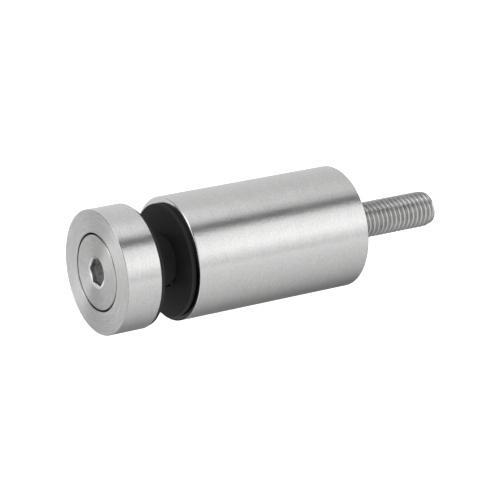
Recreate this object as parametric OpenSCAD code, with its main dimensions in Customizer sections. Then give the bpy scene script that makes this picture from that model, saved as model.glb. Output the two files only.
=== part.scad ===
// Glass panel standoff: a round spacer on a threaded wall stud, with a
// clamp cap that a countersunk socket screw draws against the glass.
// All parts are turned about the Y axis. The cap faces -Y, the stud +Y,
// and the origin is the centre of the spacer's wall face.

/* [Spacer] */
// Outer diameter of the spacer and the cap
body_d = 40; // [34:0.5:50]
// Length of the spacer, from the wall to the gasket seat
body_len = 64; // [64:1:90]
// Edge break at both ends of the spacer
body_chamfer = 0.35; // [0.1:0.05:1]
// Depth of the tapped hole for the clamp screw
screw_hole_depth = 33; // [31:0.5:33]

/* [Thread] */
// Nominal thread diameter of the screw and the stud
thread_d = 12; // [10:1:14]
// Radial running clearance of the clamp screw in its tapped hole
thread_clearance = 0.05; // [0.02:0.01:0.1]

/* [Wall stud] */
// Overall length of the stud
stud_len = 60; // [58:1:62]
// Length of stud that stands out of the spacer
stud_out = 37.3; // [34:0.1:40]
// Length of the tapered lead at the stud's free end
stud_lead = 2.3; // [1:0.1:3]
// How far the lead tapers in below the thread, on the radius
stud_taper = 0.7; // [0.4:0.1:1.5]

/* [Clamp cap] */
// Thickness of the cap
cap_t = 12; // [10:0.5:16]
// Edge break round the front of the cap
cap_chamfer = 0.6; // [0.2:0.1:1.5]
// Radial clearance of the screw in the hole through the cap
cap_hole_clearance = 0.5; // [0.3:0.1:1]
// Gap round the screw head at the mouth of the countersink
head_gap = 0.45; // [0.3:0.05:0.8]

/* [Clamp screw] */
// Overall length of the countersunk screw
screw_len = 45; // [40:1:50]
// Diameter of the screw's head
head_d = 24; // [22:0.5:26]
// How far the head sits below the front of the cap
head_recess = 0.15; // [0:0.05:0.5]
// Size of the hex socket across its flats
hex_af = 8; // [6:0.5:10]
// Depth of the hex socket
hex_depth = 4.8; // [4.4:0.1:5]

/* [Glass seat] */
// Distance between the steel faces of the cap and the spacer
steel_gap = 13.5; // [13:0.1:20]
// Thickness of both gaskets
gasket_t = 1.5; // [1:0.1:2]
// Outer diameter of the gasket on the spacer
body_gasket_d = 36.5; // [30:0.5:39]
// Outer diameter of the gasket under the cap
cap_gasket_d = 38.5; // [30:0.5:39]
// Outer diameter of the bush that centres the glass hole
bush_d = 16.5; // [16:0.5:20]
// Length of the bush
bush_len = 8; // [6:0.5:8.5]

/* [Hidden] */
$fn = 96;

thread_r = thread_d / 2;
screw_r = thread_r - thread_clearance;
seat_y = -body_len;                      // steel face behind the glass
cap_back_y = seat_y - steel_gap;         // steel face in front of the glass
cap_front_y = cap_back_y - cap_t;
head_y = cap_front_y + head_recess;      // top of the screw head
stud_in = stud_len - stud_out;           // length of stud inside the spacer
head_land = 0.5;                         // straight rim of the screw head
cone_gap = 0.2;                          // radial gap between the two cones
hex_corner_r = hex_af / 2 / cos(30);
cap_hole_r = thread_r + cap_hole_clearance;
bush_bore_d = thread_d + 0.5;
gasket_bore_d = thread_d + 1;
core_r = thread_r - 0.9;                 // core of the stud's locked thread
stud_step = 0.15;                        // the full thread starts this far inside
steel = [0.76, 0.76, 0.75];
dark_steel = [0.62, 0.62, 0.61];
rubber = [0.09, 0.09, 0.09];

// Lays a part that is drawn along +Z down onto +Y, starting at y
module along_y(y) {
  translate([0, y, 0]) rotate([-90, 0, 0]) children();
}

// Round bar with an edge break at its low end (c1) and its high end (c2)
module turned_bar(r, h, c1, c2) {
  rotate_extrude()
    polygon([[0, 0], [r - c1, 0], [r, c1], [r, h - c2], [r - c2, h], [0, h]]);
}

// Flat ring
module ring(od, id, h) {
  difference() {
    cylinder(d = od, h = h);
    translate([0, 0, -1]) cylinder(d = id, h = h + 2);
  }
}

// Round spacer with a blind tapped hole in each end
module spacer_body() {
  color(steel) along_y(seat_y)
    difference() {
      turned_bar(body_d / 2, body_len, body_chamfer, body_chamfer);
      // clamp screw hole, with its lead-in and drill point
      translate([0, 0, -1]) cylinder(r = thread_r, h = screw_hole_depth + 1);
      translate([0, 0, screw_hole_depth])
        cylinder(r1 = thread_r - 0.9, r2 = 0, h = 3);
      translate([0, 0, -0.01])
        cylinder(r1 = thread_r + 0.61, r2 = thread_r, h = 0.61);
      // stud hole at the core of its thread, with its lead-in
      translate([0, 0, body_len - stud_in]) cylinder(r = core_r, h = stud_in + 1);
      translate([0, 0, body_len - 1.5])
        cylinder(r1 = core_r, r2 = core_r + 1.51, h = 1.51);
    }
}

// Stud: its locked end fills the hole, its free end goes into the wall
module wall_stud() {
  color(dark_steel) along_y(-stud_in)
    rotate_extrude()
      polygon([[0, 0], [core_r - 0.8, 0], [core_r, 0.8],
               [core_r, stud_in - stud_step - screw_r + core_r],
               [screw_r, stud_in - stud_step], [screw_r, stud_len - stud_lead],
               [thread_r - stud_taper, stud_len], [0, stud_len]]);
}

// Gasket between the spacer and the glass
module body_gasket() {
  color(rubber) along_y(seat_y - gasket_t) ring(body_gasket_d, bush_d + 0.3, gasket_t);
}

// Bush round the screw, in the hole of the glass, with a spigot that sits
// in the gasket
module glass_bush() {
  color(rubber) along_y(seat_y - gasket_t - bush_len)
    difference() {
      union() {
        cylinder(d = bush_d, h = bush_len);
        cylinder(d = bush_d - 0.5, h = bush_len + gasket_t);
      }
      translate([0, 0, -1]) cylinder(d = bush_bore_d, h = bush_len + gasket_t + 2);
    }
}

// Gasket between the cap and the glass
module cap_gasket() {
  color(rubber) along_y(cap_back_y) ring(cap_gasket_d, gasket_bore_d, gasket_t);
}

// Cap with a countersunk hole for the screw
module clamp_cap() {
  mouth_r = head_d / 2 + head_gap;
  // depth at which the cone leaves the straight mouth
  mouth_depth = head_recess + head_land + cone_gap - head_gap;
  cone_h = mouth_r - cap_hole_r;
  color(steel) along_y(cap_front_y)
    difference() {
      turned_bar(body_d / 2, cap_t, cap_chamfer, 0.25);
      translate([0, 0, -1]) cylinder(r = cap_hole_r, h = cap_t + 2);
      translate([0, 0, mouth_depth])
        cylinder(r1 = mouth_r, r2 = mouth_r - cone_h, h = cone_h);
      translate([0, 0, -1]) cylinder(r = mouth_r, h = mouth_depth + 1);
    }
}

// Countersunk screw with a hex socket
module clamp_screw() {
  head_r = head_d / 2;
  shank_z = head_land + head_r - screw_r;  // where the cone meets the shank
  color(steel) along_y(head_y)
    difference() {
      rotate_extrude()
        polygon([[0, 0], [head_r - 0.15, 0], [head_r, 0.15], [head_r, head_land],
                 [screw_r, shank_z], [screw_r, screw_len - 1],
                 [screw_r - 1, screw_len], [0, screw_len]]);
      translate([0, 0, -1]) cylinder(r = hex_corner_r, h = hex_depth + 1, $fn = 6);
      // drill point under the socket, and the break round its mouth
      translate([0, 0, hex_depth - 0.01])
        cylinder(r1 = hex_af / 2 - 0.2, r2 = 0, h = 1.6);
      translate([0, 0, -0.01])
        cylinder(r1 = hex_corner_r + 0.5, r2 = hex_af / 2 - 0.6,
                 h = hex_corner_r - hex_af / 2 + 1.1);
    }
}

spacer_body();
wall_stud();
body_gasket();
glass_bush();
cap_gasket();
clamp_cap();
clamp_screw();
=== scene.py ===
"""Looks for the glass panel standoff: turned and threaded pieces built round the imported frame.

Metres, in the frame's own axes: every piece is turned about Y, the cap faces -Y and the stud +Y.
"""

import math

import bmesh
import bpy
from mathutils import Matrix, Vector


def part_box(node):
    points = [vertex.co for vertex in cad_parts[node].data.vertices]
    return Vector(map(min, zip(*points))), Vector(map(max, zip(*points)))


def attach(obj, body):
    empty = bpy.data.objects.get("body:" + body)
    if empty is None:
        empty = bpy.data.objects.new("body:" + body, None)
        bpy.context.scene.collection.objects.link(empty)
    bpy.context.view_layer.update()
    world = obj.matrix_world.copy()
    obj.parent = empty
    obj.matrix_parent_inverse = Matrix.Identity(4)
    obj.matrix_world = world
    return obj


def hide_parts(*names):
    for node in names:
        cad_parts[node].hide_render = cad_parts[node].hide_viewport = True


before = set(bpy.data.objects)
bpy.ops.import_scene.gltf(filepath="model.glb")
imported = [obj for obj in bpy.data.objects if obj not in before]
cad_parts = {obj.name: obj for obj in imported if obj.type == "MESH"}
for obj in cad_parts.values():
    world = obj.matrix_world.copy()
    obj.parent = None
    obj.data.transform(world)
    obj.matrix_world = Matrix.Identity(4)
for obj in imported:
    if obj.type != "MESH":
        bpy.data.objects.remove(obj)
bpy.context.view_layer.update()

MM = 0.001
TAU = 2 * math.pi


# ---------------------------------------------------------------- places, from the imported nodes


def span(node):
    """(low y, high y, outer radius) of a turned CAD node."""
    lo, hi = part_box(node)
    return lo.y, hi.y, max(hi.z, -lo.z, hi.x, -lo.x)


BODY0, BODY1, BODY_R = span("spacer_body")
STUD0, STUD1, STUD_R = span("wall_stud")
BG0, BG1, BG_R = span("body_gasket")
BUSH0, BUSH1, BUSH_R = span("glass_bush")
CG0, CG1, CG_R = span("cap_gasket")
CAP0, CAP1, CAP_R = span("clamp_cap")
SCREW0, SCREW1, HEAD_R = span("clamp_screw")

PITCH = 1.75 * MM  # M12 coarse
THREAD_R = 5.95 * MM
BORE_R = 6.0 * MM
HEX_FLAT = 4.0 * MM


# ---------------------------------------------------------------- mesh building


def rounded(outline, closed, arc_step=18.0):
    """Turns [(y, r, break radius)] into [(y, r, edge mark)], with each broken corner as a fine arc."""
    out = []
    n = len(outline)
    for i, (y, r, rad) in enumerate(outline):
        if rad <= 0 or (not closed and i in (0, n - 1)):
            out.append((y, r, 0.0))
            continue
        p = Vector((y, r))
        a = Vector(outline[i - 1][:2]) - p
        b = Vector(outline[(i + 1) % n][:2]) - p
        la, lb = a.length, b.length
        a.normalize()
        b.normalize()
        half = a.angle(b) / 2
        cut = min(rad / math.tan(half), la * 0.48, lb * 0.48)
        rad = cut * math.tan(half)
        centre = p + (a + b).normalized() * (rad / math.sin(half))
        v0 = (p + a * cut) - centre
        v1 = (p + b * cut) - centre
        turn = v0.angle_signed(v1) if v0.length > 0 else 0
        steps = max(3, int(math.ceil(math.degrees(abs(turn)) / arc_step)))
        for k in range(steps + 1):
            ang = -turn * k / steps
            c, s = math.cos(ang), math.sin(ang)
            q = centre + Vector((v0.x * c - v0.y * s, v0.x * s + v0.y * c))
            out.append((q.x, q.y, 1.0 if 0 < k < steps else 0.55))
    return out


def held(pts, closed, reach=0.1 * MM):
    """Adds a point just inside both ends of every long straight run, so that flats shade flat."""
    out = []
    n = len(pts)
    for i, (y, r, m) in enumerate(pts):
        out.append((y, r, m))
        if i == n - 1 and not closed:
            break
        y2, r2, _ = pts[(i + 1) % n]
        run = math.hypot(y2 - y, r2 - r)
        if run > 5 * reach:
            for k in (reach / run, 1 - reach / run):
                out.append((y + (y2 - y) * k, r + (r2 - r) * k, 0.0))
    return out


def finish_mesh(bm, name, sharp=28.0):
    """Makes the object: outward normals, smooth shading with sharp true corners."""
    bmesh.ops.remove_doubles(bm, verts=bm.verts, dist=2e-8)
    bmesh.ops.dissolve_degenerate(bm, edges=bm.edges, dist=1e-8)
    bmesh.ops.recalc_face_normals(bm, faces=bm.faces)
    mesh = bpy.data.meshes.new(name)
    bm.to_mesh(mesh)
    bm.free()
    for p in mesh.polygons:
        p.use_smooth = True
    mesh.set_sharp_from_angle(angle=math.radians(sharp))
    obj = bpy.data.objects.new(name, mesh)
    bpy.context.scene.collection.objects.link(obj)
    return obj


def ring_verts(bm, layer, y, r, mark, segs, phase=0.0):
    if r < 1e-7:
        v = bm.verts.new((0.0, y, 0.0))
        v[layer] = mark
        return [v]
    out = []
    for i in range(segs):
        t = TAU * i / segs + phase
        v = bm.verts.new((r * math.cos(t), y, r * math.sin(t)))
        v[layer] = mark
        out.append(v)
    return out


def bridge(bm, a, b, material=0):
    if len(a) == 1 and len(b) == 1:
        return
    n = max(len(a), len(b))
    for i in range(n):
        j = (i + 1) % n
        if len(a) == 1:
            f = bm.faces.new((a[0], b[j], b[i]))
        elif len(b) == 1:
            f = bm.faces.new((a[i], a[j], b[0]))
        else:
            f = bm.faces.new((a[i], a[j], b[j], b[i]))
        f.material_index = material


def lathe(name, outline, closed=True, segs=256):
    bm = bmesh.new()
    layer = bm.verts.layers.float.new("edge")
    pts = held(rounded(outline, closed), closed)
    rings = [ring_verts(bm, layer, y, r, m, segs) for y, r, m in pts]
    for a, b in zip(rings, rings[1:]):
        bridge(bm, a, b)
    if closed:
        bridge(bm, rings[-1], rings[0])
    return finish_mesh(bm, name)


# one pitch of the thread: (share of the pitch from the crest's middle, depth below the crest in mm)
THREAD = [
    (-0.040, 0.000), (0.040, 0.000), (0.068, 0.030), (0.145, 0.262), (0.225, 0.505), (0.300, 0.732),
    (0.372, 0.945), (0.425, 1.035), (0.500, 1.068), (0.575, 1.035), (0.628, 0.945),
    (0.700, 0.732), (0.775, 0.505), (0.855, 0.262), (0.932, 0.030),
]


def thread_depth(u):
    """Depth below the crest at a share u of the pitch."""
    u = (u + 0.040) % 1.0 - 0.040
    pts = THREAD + [(0.960, 0.0)]
    for (u0, d0), (u1, d1) in zip(pts, pts[1:]):
        if u0 <= u <= u1:
            return (d0 + (d1 - d0) * (u - u0) / (u1 - u0)) * MM
    return 0.0


def thread_rings(bm, layer, y0, y1, limit, segs, crest=THREAD_R, phase=0.0):
    """Right-hand helical thread between y0 and y1; limit(y) caps the radius for leads and tapers.
    Returns the loops of vertices at both ends."""
    turns = int(math.ceil((y1 - y0) / PITCH)) + 2
    start = math.floor(y0 / PITCH) * PITCH - PITCH
    rows = []  # rows follow the helix: y grows by one pitch in a turn
    for k in range(turns + 1):
        for u, _ in THREAD:
            rows.append(start + (k + u) * PITCH)
    grid = []
    for base in rows:
        line = []
        for i in range(segs + 1):
            t = TAU * i / segs
            # looking along +Y a right-hand thread goes away as it turns clockwise
            y = base + PITCH * i / segs
            yc = min(max(y, y0), y1)
            u = (yc - PITCH * i / segs - start) / PITCH
            r = crest - thread_depth(u)
            cap = limit(yc)
            line.append((yc, min(r, cap), t, 1.0 if thread_depth(u) < 0.06 * MM else 0.0))
        grid.append(line)
    per = len(THREAD)
    verts = []
    for line in grid:
        row = []
        for yc, r, t, m in line[:segs]:
            tt = -t + phase
            v = bm.verts.new((r * math.cos(tt), yc, r * math.sin(tt)))
            v[layer] = m
            row.append(v)
        verts.append(row)
    first, last = [], []
    for a in range(len(rows) - 1):
        for i in range(segs):
            # the last column meets the first column one pitch further on
            if i < segs - 1:
                q = (verts[a][i], verts[a][i + 1], verts[a + 1][i + 1], verts[a + 1][i])
                src = (grid[a][i], grid[a][i + 1], grid[a + 1][i + 1], grid[a + 1][i])
            else:
                if a + 1 + per >= len(rows):
                    continue
                q = (verts[a][i], verts[a + per][0], verts[a + per + 1][0], verts[a + 1][i])
                src = (grid[a][i], grid[a + per][0], grid[a + per + 1][0], grid[a + 1][i])
            ys = [s[0] for s in src]
            if max(ys) - min(ys) < 1e-9:
                continue  # wholly past an end
            bm.faces.new(q)
    bmesh.ops.remove_doubles(bm, verts=bm.verts, dist=2e-7)
    bmesh.ops.dissolve_degenerate(bm, edges=bm.edges, dist=1e-7)
    loose = [v for v in bm.verts if not v.link_faces]
    bmesh.ops.delete(bm, geom=loose, context="VERTS")
    for v in bm.verts:
        if v.is_boundary:
            (first if abs(v.co.y - y0) < 1e-6 else last if abs(v.co.y - y1) < 1e-6 else []).append(v)
    return first, last


def by_angle(verts):
    return sorted(verts, key=lambda v: math.atan2(v.co.z, v.co.x))


def loop_to_ring(bm, layer, loop, ring):
    """Joins an unevenly spaced end loop to an even ring by walking round both."""
    a, b = by_angle(loop), by_angle(ring)
    ang = lambda v: math.atan2(v.co.z, v.co.x)
    na, nb = len(a), len(b)
    i = j = 0
    while i < na or j < nb:
        ta = ang(a[(i + 1) % na]) + (TAU if i + 1 >= na else 0)
        tb = ang(b[(j + 1) % nb]) + (TAU if j + 1 >= nb else 0)
        if j >= nb or (i < na and ta <= tb):
            tri = (a[i % na], a[(i + 1) % na], b[j % nb])
            i += 1
        else:
            tri = (a[i % na], b[(j + 1) % nb], b[j % nb])
            j += 1
        if len(set(tri)) == 3:
            bm.faces.new(tri)


# ---------------------------------------------------------------- materials


def nodes_of(mat):
    mat.use_nodes = True
    t = mat.node_tree
    t.nodes.clear()
    return t, t.nodes, t.links


def math_node(t, op, a, b=None, clamp=False):
    n = t.nodes.new("ShaderNodeMath")
    n.operation = op
    n.use_clamp = clamp
    for k, v in enumerate((a, b)):
        if v is None:
            continue
        if isinstance(v, (int, float)):
            n.inputs[k].default_value = v
        else:
            t.links.new(v, n.inputs[k])
    return n.outputs[0]


def turned_coords(t, around, along):
    """Coordinates in which noise runs round the axis as fine lathe lines, on sides and on faces alike."""
    tc = t.nodes.new("ShaderNodeTexCoord")
    sep = t.nodes.new("ShaderNodeSeparateXYZ")
    t.links.new(tc.outputs["Object"], sep.inputs[0])
    x, y, z = sep.outputs
    r = math_node(t, "SQRT", math_node(t, "ADD", math_node(t, "MULTIPLY", x, x), math_node(t, "MULTIPLY", z, z)))
    safe = math_node(t, "MAXIMUM", r, 1e-5)
    cx = math_node(t, "MULTIPLY", math_node(t, "DIVIDE", x, safe), around)
    cz = math_node(t, "MULTIPLY", math_node(t, "DIVIDE", z, safe), around)
    run = math_node(t, "MULTIPLY", math_node(t, "ADD", y, math_node(t, "MULTIPLY", r, 0.9)), along)
    comb = t.nodes.new("ShaderNodeCombineXYZ")
    t.links.new(cx, comb.inputs[0])
    t.links.new(run, comb.inputs[1])
    t.links.new(cz, comb.inputs[2])
    return comb.outputs[0], tc.outputs["Object"], r, y


def noise(t, vector, scale, detail=3.0, rough=0.55, dims="3D"):
    n = t.nodes.new("ShaderNodeTexNoise")
    n.noise_dimensions = dims
    n.inputs["Scale"].default_value = scale
    n.inputs["Detail"].default_value = detail
    n.inputs["Roughness"].default_value = rough
    t.links.new(vector, n.inputs["Vector"])
    return n.outputs["Fac"]


def ramp(t, fac, lo, hi, out_lo, out_hi):
    n = t.nodes.new("ShaderNodeMapRange")
    n.inputs["From Min"].default_value = lo
    n.inputs["From Max"].default_value = hi
    n.inputs["To Min"].default_value = out_lo
    n.inputs["To Max"].default_value = out_hi
    t.links.new(fac, n.inputs["Value"])
    return n.outputs["Result"]


def mix_colour(t, fac, a, b):
    n = t.nodes.new("ShaderNodeMix")
    n.data_type = "RGBA"
    n.clamp_factor = True
    if isinstance(fac, (int, float)):
        n.inputs["Factor"].default_value = fac
    else:
        t.links.new(fac, n.inputs["Factor"])
    for sock, v in (("A", a), ("B", b)):
        s = [i for i in n.inputs if i.name == sock and i.type == "RGBA"][0]
        if isinstance(v, tuple):
            s.default_value = (*v, 1.0)
        else:
            t.links.new(v, s)
    return [o for o in n.outputs if o.type == "RGBA"][0]


def edge_mark(t):
    n = t.nodes.new("ShaderNodeAttribute")
    n.attribute_name = "edge"
    return n.outputs["Fac"]


def brushed_steel(name, base, rough, aniso, grain=2.4, streak=0.11, edge_wear_and_shade=0.06, painted_dark_reflection=0.0, short_run=24.0, long_run=3.0):
    """Satin stainless brushed on a lathe: short and long lines round the axis, slow patches, slightly worn edges; a
    negative edge_wear_and_shade darkens the edges instead, painted shade that dims their highlight.
    grain tilts the surface along the lines, streak is how far they lighten and darken it, painted_dark_reflection
    paints a black band on the lower part, a painted dark reflection. The runs say how many times a line breaks in a
    turn."""
    mat = bpy.data.materials.new(name)
    t, nodes, links = nodes_of(mat)
    out = nodes.new("ShaderNodeOutputMaterial")
    p = nodes.new("ShaderNodeBsdfPrincipled")
    links.new(p.outputs[0], out.inputs[0])
    p.distribution = "GGX"
    p.inputs["Metallic"].default_value = 1.0
    p.inputs["Anisotropic"].default_value = aniso
    p.inputs["Anisotropic Rotation"].default_value = 0.25
    tan = nodes.new("ShaderNodeTangent")
    tan.direction_type = "RADIAL"
    tan.axis = "Y"
    links.new(tan.outputs[0], p.inputs["Tangent"])
    short_at, obj, r, y = turned_coords(t, short_run, 2300.0)
    long_at = turned_coords(t, long_run, 3600.0)[0]
    short = noise(t, short_at, 1.0, 2.0, 0.6)
    long = noise(t, long_at, 1.0, 2.0, 0.6)
    fine = math_node(t, "ADD", math_node(t, "MULTIPLY", short, 0.65), math_node(t, "MULTIPLY", long, 0.35))
    broad = noise(t, long_at, 0.13, 2.0, 0.5)
    cloud = noise(t, obj, 95.0, 3.0, 0.55)
    edge = edge_mark(t)
    # colour: base, pulled up and down by the lines and the slow patches
    dark = tuple(c * (1 - streak) for c in base)
    light = tuple(min(1.0, c * (1 + streak)) for c in base)
    lines_mix = ramp(t, fine, 0.35, 0.65, 0.0, 1.0)
    col = mix_colour(t, lines_mix, dark, light)
    patch = ramp(t, cloud, 0.3, 0.7, 0.985, 1.015)
    hsv = nodes.new("ShaderNodeHueSaturation")
    links.new(patch, hsv.inputs["Value"])
    links.new(col, hsv.inputs["Color"])
    bright = tuple(min(1.0, c * (1 + edge_wear_and_shade)) for c in base)  # above zero for worn, lighter edges; below zero, painted shade that dims the edge's highlight
    col = mix_colour(t, edge, hsv.outputs[0], bright)
    # painted dark reflection: below a height the colour is pulled to black, standing for the dark that the lower face
    # reflects
    if painted_dark_reflection > 0:
        sep = nodes.new("ShaderNodeSeparateXYZ")
        links.new(obj, sep.inputs[0])
        level = math_node(t, "ADD", sep.outputs[2], ramp(t, cloud, 0.2, 0.8, -0.004, 0.004))
        low = ramp(t, level, 0.011, 0.002, 0.0, painted_dark_reflection)
        col = mix_colour(t, low, col, (0.05, 0.05, 0.05))
    links.new(col, p.inputs["Base Color"])
    # roughness: lines, patches, and a smoother worn edge
    rr = math_node(t, "ADD", ramp(t, fine, 0.3, 0.7, rough - 0.03, rough + 0.03), ramp(t, broad, 0.3, 0.7, -0.012, 0.012))
    rr = math_node(t, "ADD", rr, ramp(t, cloud, 0.3, 0.7, -0.012, 0.012))
    rr = math_node(t, "SUBTRACT", rr, math_node(t, "MULTIPLY", edge, 0.05), clamp=True)
    links.new(rr, p.inputs["Roughness"])
    bump = nodes.new("ShaderNodeBump")
    bump.inputs["Strength"].default_value = 1.0
    bump.inputs["Distance"].default_value = 0.03 * MM * grain
    links.new(fine, bump.inputs["Height"])
    links.new(bump.outputs[0], p.inputs["Normal"])
    return mat


def raw_steel(name, base, rough, grain=0.25, spot=900.0, spread=0.25):
    """Plain steel that no tool has polished: mottled colour, uneven gloss and a pitted bump."""
    mat = bpy.data.materials.new(name)
    t, nodes, links = nodes_of(mat)
    out = nodes.new("ShaderNodeOutputMaterial")
    p = nodes.new("ShaderNodeBsdfPrincipled")
    links.new(p.outputs[0], out.inputs[0])
    p.inputs["Metallic"].default_value = 1.0
    tc = nodes.new("ShaderNodeTexCoord")
    obj = tc.outputs["Object"]
    spots = noise(t, obj, spot, 4.0, 0.6)
    cloud = noise(t, obj, spot * 0.22, 3.0, 0.5)
    edge = edge_mark(t)
    mixv = math_node(t, "ADD", math_node(t, "MULTIPLY", spots, 0.6), math_node(t, "MULTIPLY", cloud, 0.4))
    col = mix_colour(t, ramp(t, mixv, 0.35, 0.65, 0.0, 1.0), tuple(c * (1 - spread) for c in base), tuple(min(1.0, c * (1 + spread)) for c in base))
    col = mix_colour(t, math_node(t, "MULTIPLY", edge, 0.7), col, tuple(min(1.0, c * 1.25) for c in base))
    links.new(col, p.inputs["Base Color"])
    rr = math_node(t, "ADD", ramp(t, spots, 0.3, 0.7, rough - 0.06, rough + 0.08), ramp(t, cloud, 0.3, 0.7, -0.04, 0.04))
    rr = math_node(t, "SUBTRACT", rr, math_node(t, "MULTIPLY", edge, 0.08), clamp=True)
    links.new(rr, p.inputs["Roughness"])
    bump = nodes.new("ShaderNodeBump")
    bump.inputs["Strength"].default_value = grain
    bump.inputs["Distance"].default_value = 0.00004
    links.new(spots, bump.inputs["Height"])
    links.new(bump.outputs[0], p.inputs["Normal"])
    return mat


def rubber(name, base, rough, edge_col, grain=0.3, scale=2600.0, specular=0.35):
    """Black moulded rubber or plastic: fine matt grain, dust-grey edges, uneven sheen."""
    mat = bpy.data.materials.new(name)
    t, nodes, links = nodes_of(mat)
    out = nodes.new("ShaderNodeOutputMaterial")
    p = nodes.new("ShaderNodeBsdfPrincipled")
    links.new(p.outputs[0], out.inputs[0])
    p.inputs["Specular IOR Level"].default_value = specular
    tc = nodes.new("ShaderNodeTexCoord")
    obj = tc.outputs["Object"]
    fine = noise(t, obj, scale, 4.0, 0.6)
    cloud = noise(t, obj, 160.0, 3.0, 0.6)
    edge = edge_mark(t)
    col = mix_colour(t, ramp(t, cloud, 0.3, 0.7, 0.0, 1.0), tuple(c * 0.8 for c in base), tuple(c * 1.25 for c in base))
    col = mix_colour(t, ramp(t, fine, 0.62, 0.8, 0.0, 0.25), col, tuple(c * 2.2 for c in base))
    col = mix_colour(t, math_node(t, "MULTIPLY", edge, 0.8), col, edge_col)
    links.new(col, p.inputs["Base Color"])
    rr = math_node(t, "ADD", ramp(t, fine, 0.3, 0.7, rough - 0.07, rough + 0.07), ramp(t, cloud, 0.3, 0.7, -0.05, 0.05), clamp=True)
    links.new(rr, p.inputs["Roughness"])
    bump = nodes.new("ShaderNodeBump")
    bump.inputs["Strength"].default_value = grain
    bump.inputs["Distance"].default_value = 0.00003
    links.new(fine, bump.inputs["Height"])
    links.new(bump.outputs[0], p.inputs["Normal"])
    return mat


STEEL = (0.62, 0.62, 0.615)
body_steel = brushed_steel("satin_steel_spacer", STEEL, 0.31, 0.833)
# the faced end's last argument turns on the painted dark reflection on its lower part
end_steel = brushed_steel("faced_steel_spacer_end", STEEL, 0.15, 0.5, 0.15, 0.04, 0.0, 1.0)
# the cap's side and face materials darken their edges: painted shade that dims the edge highlight
cap_steel = brushed_steel("satin_steel_cap_side", STEEL, 0.31, 0.833, edge_wear_and_shade=-0.25)
cap_face_steel = brushed_steel("satin_steel_cap_face", STEEL, 0.345, 0.926, 0.6, 0.14, -0.25, 0.0, 4.0, 1.2)
screw_steel = brushed_steel("satin_steel_screw", (0.561, 0.561, 0.556), 0.345, 0.926, 0.6, 0.14, 0.0, 0.0, 5.0, 1.6)
# painted shade: steel darkened to near black for the shaded gap between the screw head and the cap's mouth
shaded_seat_steel = raw_steel("painted_shade_steel_seat", (0.10, 0.10, 0.098), 0.45, 0.3, 1200.0, 0.3)
socket_steel = raw_steel("pressed_steel_socket", (0.56, 0.56, 0.55), 0.42, 0.5, 900.0, 0.45)
# painted shade: a darker copy of the socket steel for the upper socket walls
shaded_socket_rim_steel = raw_steel("pressed_steel_socket_rim_shaded", (0.32, 0.32, 0.315), 0.45, 0.5, 900.0, 0.5)
lip_steel = raw_steel("cut_steel_socket_mouth", (0.58, 0.58, 0.575), 0.28, 0.12, 1500.0, 0.06)
thread_steel = raw_steel("thread_steel_stud", (0.48, 0.48, 0.475), 0.3, 0.25, 1100.0, 0.2)
screw_thread_steel = raw_steel("thread_steel_screw", (0.48, 0.48, 0.475), 0.28, 0.2, 1100.0, 0.15)
gasket_rubber = rubber("black_gasket_rubber", (0.017, 0.017, 0.017), 0.66, (0.026, 0.026, 0.026), 0.3, 2600.0, 0.2)
bush_plastic = rubber("black_bush_plastic", (0.019, 0.019, 0.019), 0.6, (0.022, 0.022, 0.022), 0.15, 1800.0, 0.2)


# ---------------------------------------------------------------- pieces


def dress(obj, body, node, slot, *materials):
    for m in materials:
        obj.data.materials.append(m)
    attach(obj, body)
    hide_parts(node)
    return obj


def make_spacer():
    lead = 0.6 * MM
    back = STUD0
    # one outline from the back hole's floor round the outside to the front hole's drill point
    outline = [
        (BODY0 + 33.0 * MM + 3.0 * MM, 0.0, 0.0),
        (BODY0 + 33.0 * MM, 5.1 * MM, 0.0),
        (BODY0 + 33.0 * MM, BORE_R, 0.0),
        (BODY0 + lead, BORE_R, 0.0),
        (BODY0, BORE_R + lead, 0.06 * MM),
        (BODY0, BODY_R, 0.45 * MM),
        (BODY1, BODY_R, 0.33 * MM),
        (BODY1, BORE_R + lead, 0.06 * MM),
        (BODY1 - lead, BORE_R, 0.0),
        (back - 0.05 * MM, BORE_R, 0.0),
        (back - 0.05 * MM, 0.0, 0.0),
    ]
    obj = lathe("spacer", outline, closed=False)
    for f in obj.data.polygons:  # the faced front end has a finish of its own, with a painted dark reflection on its lower part
        if f.normal.y < -0.6 and f.center.y < BODY0 + 0.4 * MM:
            f.material_index = 1
    return dress(obj, "spacer", "spacer_body", "spacer_steel", body_steel, end_steel)


def make_cap():
    mouth_r, mouth_d, through = 12.55 * MM, 0.6 * MM, 6.5 * MM
    outline = [
        (CAP0 + 0.16 * MM, mouth_r, 0.03 * MM),
        (CAP0, mouth_r + 0.16 * MM, 0.03 * MM),
        (CAP0, CAP_R, 0.2 * MM),
        (CAP1, CAP_R, 0.25 * MM),
        (CAP1, through, 0.1 * MM),
        (CAP0 + mouth_d + (mouth_r - through), through, 0.2 * MM),
        (CAP0 + mouth_d, mouth_r, 0.1 * MM),
    ]
    obj = lathe("clamp_cap_turned", outline)
    # the mouth's wall gets steel darkened as painted shade of the gap round the head
    for f in obj.data.polygons:
        if math.hypot(f.center.x, f.center.z) < mouth_r + 0.01 * MM and f.normal.y < 0.9:
            f.material_index = 2
        elif abs(f.normal.y) > 0.8 or math.hypot(f.center.x, f.center.z) < mouth_r + 0.3 * MM:
            f.material_index = 1
    return dress(obj, "cap", "clamp_cap", "cap_steel", cap_steel, cap_face_steel, shaded_seat_steel)


def make_gasket(name, node, body, y0, y1, r_out, r_in, sag):
    outline = [
        (y0, r_in, 0.15 * MM), (y0, r_out, 0.3 * MM), (y1, r_out, 0.3 * MM), (y1, r_in, 0.15 * MM),
    ]
    obj = lathe(name, outline, segs=192)
    obj.data.transform(Matrix.Translation((0.0, 0.0, -sag)))  # hangs on what runs through it
    return dress(obj, body, node, "gasket_rubber", gasket_rubber)


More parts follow.
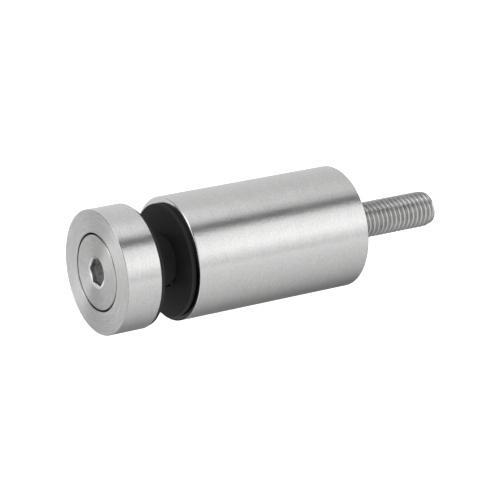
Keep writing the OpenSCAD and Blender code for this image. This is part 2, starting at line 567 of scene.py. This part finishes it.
def make_bush():
    outline = [
        (BUSH0, 6.25 * MM, 0.2 * MM), (BUSH0, BUSH_R, 0.35 * MM),
        (BG0, BUSH_R, 0.05 * MM), (BG0, BUSH_R - 0.25 * MM, 0.0),
        (BUSH1, BUSH_R - 0.25 * MM, 0.05 * MM), (BUSH1, 6.25 * MM, 0.05 * MM),
    ]
    obj = lathe("glass_bush_ring", outline, segs=160)
    return dress(obj, "spacer", "glass_bush", "bush_plastic", bush_plastic)


def make_stud():
    bm = bmesh.new()
    layer = bm.verts.layers.float.new("edge")
    lead_y = STUD1 - 2.3 * MM

    def limit(y):
        if y > lead_y:
            return THREAD_R - (THREAD_R - 5.3 * MM) * (y - lead_y) / (STUD1 - lead_y)
        if y < STUD0 + 0.9 * MM:
            return 5.0 * MM + (y - STUD0)
        return THREAD_R

    first, last = thread_rings(bm, layer, STUD0, STUD1, limit, 96)
    # ends: a small break, then a faced end with a shallow turning centre
    for loop, y, s in ((first, STUD0, 1), (last, STUD1, -1)):
        inner = ring_verts(bm, layer, y, 4.2 * MM, 0.0, 96)
        loop_to_ring(bm, layer, loop, inner)
        core = ring_verts(bm, layer, y, 1.1 * MM, 0.0, 96)
        bridge(bm, inner, core)
        tip = ring_verts(bm, layer, y + s * 0.6 * MM, 0.0, 0.0, 96)
        bridge(bm, core, tip)
    obj = finish_mesh(bm, "wall_stud_threaded", 40.0)
    return dress(obj, "spacer", "wall_stud", "stud_steel", thread_steel)


def make_screw():
    bm = bmesh.new()
    layer = bm.verts.layers.float.new("edge")
    segs = 192
    head_r, land = HEAD_R, 0.5 * MM
    top = CAP0  # the head sits flush in the cap
    cone_end = SCREW0 + land + (head_r - THREAD_R)
    # threaded shank, from just behind the head to the chamfered tip
    shank0 = cone_end + 1.2 * MM
    tip_c = 1.0 * MM

    def limit(y):
        if y > SCREW1 - tip_c:
            return THREAD_R - (y - (SCREW1 - tip_c))
        if y < shank0 + 1.0 * MM:  # the thread keeps its full crest right up to the head; no run-out is made
            return THREAD_R
        return THREAD_R

    first, last = thread_rings(bm, layer, shank0, SCREW1, limit, 64)
    thread_faces = set(bm.faces)
    end = ring_verts(bm, layer, SCREW1, 3.6 * MM, 0.0, 64)
    loop_to_ring(bm, layer, last, end)
    tip = ring_verts(bm, layer, SCREW1, 0.0, 0.0, 64)
    bridge(bm, end, tip)
    neck = ring_verts(bm, layer, shank0, THREAD_R, 0.0, segs)
    loop_to_ring(bm, layer, first, neck)
    for f in bm.faces:
        f.material_index = 2
    # head: neck, cone, rim with its break, face up to the socket's shallow mouth
    mouth, mouth_d = 5.15 * MM, 0.4 * MM  # the socket's mouth: a shallow cone down to the hexagon
    outline = [
        (shank0, THREAD_R, 0.0), (cone_end, THREAD_R, 0.4 * MM), (SCREW0 + land, head_r, 0.08 * MM),
        (top + 0.24 * MM, head_r, 0.05 * MM), (top, head_r - 0.24 * MM, 0.05 * MM), (top, mouth, 0.0),
    ]
    pts = held(rounded(outline, False), False)
    prev = neck
    for y, r, m in pts[1:]:
        ring = ring_verts(bm, layer, y, r, m, segs)
        bridge(bm, prev, ring, 3 if y > top + 0.26 * MM else 0)  # the head's side and seat below the rim get steel darkened as painted shade of the gap
        prev = ring

    def hex_r(t, flat=HEX_FLAT):
        s = ((t + 0.07) % (TAU / 6)) - TAU / 12
        return min(flat / math.cos(s), flat / math.cos(TAU / 12) - 0.05 * MM)

    def hex_ring(depth, shrink=0.0, mark=0.0, on_cone=False):
        out = []
        for i in range(segs):
            t = TAU * i / segs
            r = hex_r(t) - shrink
            y = top + ((mouth - r) * mouth_d / (mouth - HEX_FLAT) if on_cone else depth)
            v = bm.verts.new((r * math.cos(t), y, r * math.sin(t)))
            v[layer] = mark
            out.append(v)
        return out

    lip = hex_ring(0.0, 0.0, 0.6, on_cone=True)
    bridge(bm, prev, lip, 5)
    wall0 = hex_ring(1.7 * MM, 0.0, 0.0)
    # the upper socket walls take the darker copy of the socket steel, painted shade
    bridge(bm, lip, wall0, 4)
    wall1 = hex_ring(4.7 * MM, 0.0, 0.0)
    bridge(bm, wall0, wall1, 1)
    floor = hex_ring(4.8 * MM, 0.12 * MM, 0.3)
    bridge(bm, wall1, floor, 1)
    drill = ring_verts(bm, layer, top + 4.8 * MM, 3.6 * MM, 0.3, segs)
    bridge(bm, floor, drill, 1)
    cone = ring_verts(bm, layer, top + 5.6 * MM, 1.9 * MM, 0.0, segs)
    bridge(bm, drill, cone, 1)
    point = ring_verts(bm, layer, top + 6.3 * MM, 0.0, 0.0, segs)
    bridge(bm, cone, point, 1)
    obj = finish_mesh(bm, "clamp_screw_turned", 30.0)
    return dress(obj, "screw", "clamp_screw", "screw_steel", screw_steel, socket_steel, screw_thread_steel, shaded_seat_steel, shaded_socket_rim_steel, lip_steel)


make_spacer()
make_cap()
make_gasket("body_gasket_ring", "body_gasket", "spacer", BG0, BG1, BG_R, 8.4 * MM, 0.3 * MM)
make_gasket("cap_gasket_ring", "cap_gasket", "front_gasket", CG0, CG1, CG_R, 6.5 * MM, 0.4 * MM)
make_bush()
make_stud()
make_screw()


# ---------------------------------------------------------------- studio

# Plain pale floor, well below the part.
FLOOR_Z = -0.30
bm = bmesh.new()
bmesh.ops.create_grid(bm, x_segments=2, y_segments=2, size=12.0)
floor_mesh = bpy.data.meshes.new("floor")
bm.to_mesh(floor_mesh)
bm.free()
floor = bpy.data.objects.new("floor", floor_mesh)
bpy.context.scene.collection.objects.link(floor)
floor.location = (0, 0, FLOOR_Z)
floor_mat = bpy.data.materials.new("floor_white")
t, nodes, links = nodes_of(floor_mat)
out = nodes.new("ShaderNodeOutputMaterial")
diffuse = nodes.new("ShaderNodeBsdfDiffuse")
diffuse.inputs["Color"].default_value = (0.9, 0.9, 0.9, 1)
glow = nodes.new("ShaderNodeEmission")
glow.inputs["Color"].default_value = (1, 1, 1, 1)
glow.inputs["Strength"].default_value = 0.55
add = nodes.new("ShaderNodeAddShader")
links.new(diffuse.outputs[0], add.inputs[0])
links.new(glow.outputs[0], add.inputs[1])
links.new(add.outputs[0], out.inputs[0])
floor_mesh.materials.append(floor_mat)
floor.visible_glossy = False

# Soft studio: large softboxes and dark flags round the part. Each is a soft-edged window in the angle
# round the Y axis (from +X towards +Z) and the lift towards +Y, in degrees:
# (angle, half width, soft edge, lift, half height, soft edge, brightness; below zero for a flag)
STUDIO_TONE = 0.45
STUDIO = [
    (37.8, 15, 29, 56.6, 28.4, 20.4, 1.18),  # wall panel beside the part, towards the camera
    (86.7, 9, 27, 71.3, 28.7, 8.1, -0.50),  # flag above and behind
    (61.3, 0.6, 12.9, -3.2, 29.2, 22.5, -1.73),  # narrow flag along the part
    (81.3, 0, 27, -28, 46.9, 6.2, 1.81),  # overhead softbox
    (201.6, 0.6, 39.2, 3.4, 12.1, 19.8, 0.62),  # softbox on the far side
    (255.1, 17.1, 70.8, 66.3, 23.7, 24.1, -0.63),  # dark table under the far end
    (160.2, 31.9, 34.6, -69.4, 0, 17, 2.50),  # softbox in front of the cap
    (214.7, 9.9, 4.8, -2.9, 5.1, 36.4, -1.37),  # flag low on the far side
    (216.8, 0, 4.5, -40.2, 20.5, 18.9, 1.55),  # strip low in front
    (323.9, 25.8, 62.3, 0.1, 79.6, 21.9, 0.56),  # glow of the table on the near side
    (154, 45.6, 27.6, -10.1, 43.2, 10.1, 0.47),  # glow of the far wall
    (132.7, 15.5, 14.8, -29.8, 11.7, 13.2, -0.64),  # small flag over the cap
    (-6.8, 0.4, 1.6, 30, 40, 20, -0.62),  # seam between the wall panel and the table
    (-11.5, 2, 4, 30, 40, 20, 0.22),  # seam between, its bright lip
]
world = bpy.data.worlds.new("studio")
bpy.context.scene.world = world
world.use_nodes = True
wt = world.node_tree
wt.nodes.clear()
w_out = wt.nodes.new("ShaderNodeOutputWorld")
tc = wt.nodes.new("ShaderNodeTexCoord")
sep = wt.nodes.new("ShaderNodeSeparateXYZ")
wt.links.new(tc.outputs["Generated"], sep.inputs[0])
wx, wy, wz = sep.outputs
ang = math_node(wt, "MULTIPLY", math_node(wt, "ARCTAN2", wz, wx), 180 / math.pi)
lift = math_node(wt, "MULTIPLY", math_node(wt, "ARCSINE", wy), 180 / math.pi)


def window(value, half, soft):
    """1 within half of zero, falling smoothly to 0 over soft."""
    n = wt.nodes.new("ShaderNodeMapRange")
    n.interpolation_type = "SMOOTHSTEP"
    n.inputs["From Min"].default_value = half + soft
    n.inputs["From Max"].default_value = half
    n.inputs["To Min"].default_value = 0.0
    n.inputs["To Max"].default_value = 1.0
    wt.links.new(value, n.inputs["Value"])
    return n.outputs["Result"]


total = None
for a0, aw, asoft, l0, lh, lsoft, bright in STUDIO:
    wrap = wt.nodes.new("ShaderNodeMath")
    wrap.operation = "WRAP"
    wt.links.new(math_node(wt, "SUBTRACT", ang, a0), wrap.inputs[0])
    wrap.inputs[1].default_value = 180.0
    wrap.inputs[2].default_value = -180.0
    across = window(math_node(wt, "ABSOLUTE", wrap.outputs[0]), aw, asoft)
    up = window(math_node(wt, "ABSOLUTE", math_node(wt, "SUBTRACT", lift, l0)), lh, lsoft)
    part = math_node(wt, "MULTIPLY", math_node(wt, "MULTIPLY", across, up), bright)
    total = math_node(wt, "ADD", part, STUDIO_TONE if total is None else total)
even = math_node(wt, "MAXIMUM", total, 0.0)
studio = wt.nodes.new("ShaderNodeBackground")
studio.inputs["Color"].default_value = (1, 1, 1, 1)
wt.links.new(even, studio.inputs["Strength"])
plain = wt.nodes.new("ShaderNodeBackground")
plain.inputs["Color"].default_value = (1, 1, 1, 1)
plain.inputs["Strength"].default_value = 1.0
lp = wt.nodes.new("ShaderNodeLightPath")
pick = wt.nodes.new("ShaderNodeMixShader")
wt.links.new(lp.outputs["Is Camera Ray"], pick.inputs[0])
wt.links.new(studio.outputs[0], pick.inputs[1])
wt.links.new(plain.outputs[0], pick.inputs[2])
wt.links.new(pick.outputs[0], w_out.inputs[0])

# ---------------------------------------------------------------- camera

EL, AZ = math.radians(18.18), math.radians(57.44)
FOCAL = 2515.62  # pixels, for a picture 500 pixels wide
DIST = 0.82813
OX, OY = 333.50, 225.32  # where the origin falls in the picture
v = Vector((-math.sin(AZ) * math.cos(EL), math.cos(AZ) * math.cos(EL), -math.sin(EL)))
r = Vector((math.cos(AZ), math.sin(AZ), 0))
d = v.cross(r)
offset = ((OX - 249.5) / FOCAL * DIST, (OY - 249.5) / FOCAL * DIST, DIST)
eye = -(r * offset[0] + d * offset[1] + v * offset[2])
cam_data = bpy.data.cameras.new("camera")
cam_data.sensor_width = 36.0
cam_data.lens = FOCAL / 500 * 36.0
cam_data.clip_start = 0.01
cam_data.clip_end = 100
cam = bpy.data.objects.new("camera", cam_data)
bpy.context.scene.collection.objects.link(cam)
m = Matrix.Identity(4)
for i, axis in enumerate((r, -d, -v)):
    for k in range(3):
        m[k][i] = axis[k]
for k in range(3):
    m[k][3] = eye[k]
cam.matrix_world = m
bpy.context.scene.camera = cam

scene = bpy.context.scene
scene.view_settings.view_transform = "Standard"
scene.view_settings.look = "None"
